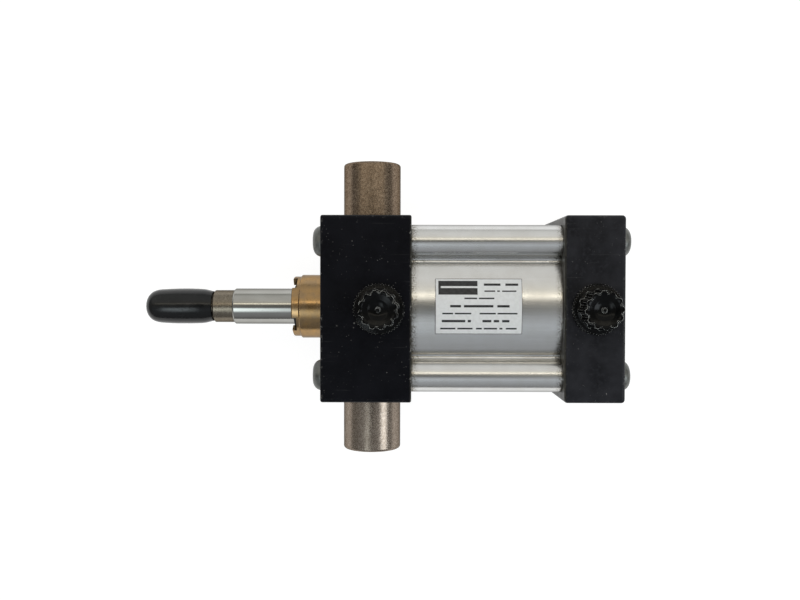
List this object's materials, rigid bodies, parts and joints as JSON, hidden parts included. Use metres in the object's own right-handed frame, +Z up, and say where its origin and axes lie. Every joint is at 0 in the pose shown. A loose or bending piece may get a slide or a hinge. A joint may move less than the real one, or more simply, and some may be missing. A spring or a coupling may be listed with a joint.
{
  "type": "pneumatic cylinder",
  "caption": "Short-stroke pneumatic cylinder: square head and cap on an extruded barrel, side trunnions, threaded rod under a soft cap.",
  "frame": {"origin": "on the resting face of the rod-end head, straight below the point where the trunnion axis crosses the rod axis", "axes": "+X along the rod axis towards the cap end, +Y along the trunnion axis, +Z up, the way the ports face"},
  "size_m": [0.2098, 0.127, 0.0892],
  "materials": {
    "black_anodised": "black anodised, satin",
    "bare_aluminium": "extruded, satin",
    "bronze": "turned bearing bronze",
    "chrome": "hard chrome, ground",
    "brown_steel": "turned, browned",
    "black_steel": "black oxide",
    "black_vinyl": "dipped, glossy",
    "black_plastic": "moulded, glossy",
    "seal_rubber": "moulded, matte",
    "bearing_plastic": "machined, matte",
    "label_film": "printed film"
  },
  "bodies": {
    "cylinder_body": {"rod_end_head": "black_anodised", "cap_end_cover": "black_anodised", "barrel": "bare_aluminium", "rod_gland": "bronze", "trunnion_pin_left": "brown_steel", "trunnion_pin_right": "brown_steel", "head_screw_1": "black_steel", "head_screw_2": "black_steel", "head_screw_3": "black_steel", "head_screw_4": "black_steel", "cap_screw_1": "black_steel", "cap_screw_2": "black_steel", "cap_screw_3": "black_steel", "cap_screw_4": "black_steel", "rod_wiper": "seal_rubber", "rod_seal": "seal_rubber", "gland_o_ring": "seal_rubber", "head_o_ring": "seal_rubber", "cap_o_ring": "seal_rubber", "rating_label": "label_film"},
    "piston_seals": {"piston_seal_front": "seal_rubber", "piston_seal_back": "seal_rubber", "piston_wear_band": "bearing_plastic"},
    "rod": {"piston_rod": "chrome", "piston": "bare_aluminium", "piston_nut": "black_steel", "piston_static_o_ring": "seal_rubber"},
    "protector": {"thread_protector": "black_vinyl"},
    "head_plug": {"head_port_plug": "black_plastic"},
    "cap_plug": {"cap_port_plug": "black_plastic"}
  },
  "joints": [
    {"name": "rod_slide", "type": "slide", "parent": "cylinder_body", "child": "piston_seals", "axis": [-1, 0, 0], "range_m": [0, 0.0254]},
    {"name": "rod_turn", "type": "hinge", "parent": "piston_seals", "child": "rod", "pos_m": [0, 0, 0.0381], "axis": [1, 0, 0], "continuous": true},
    {"name": "protector_pull", "type": "slide", "parent": "rod", "child": "protector", "axis": [-1, 0, 0], "range_m": [0, 0.035]},
    {"name": "head_plug_out", "type": "slide", "parent": "cylinder_body", "child": "head_plug", "axis": [0, 0, 1], "range_m": [0, 0.02]},
    {"name": "cap_plug_out", "type": "slide", "parent": "cylinder_body", "child": "cap_plug", "axis": [0, 0, 1], "range_m": [0, 0.02]}
  ]
}
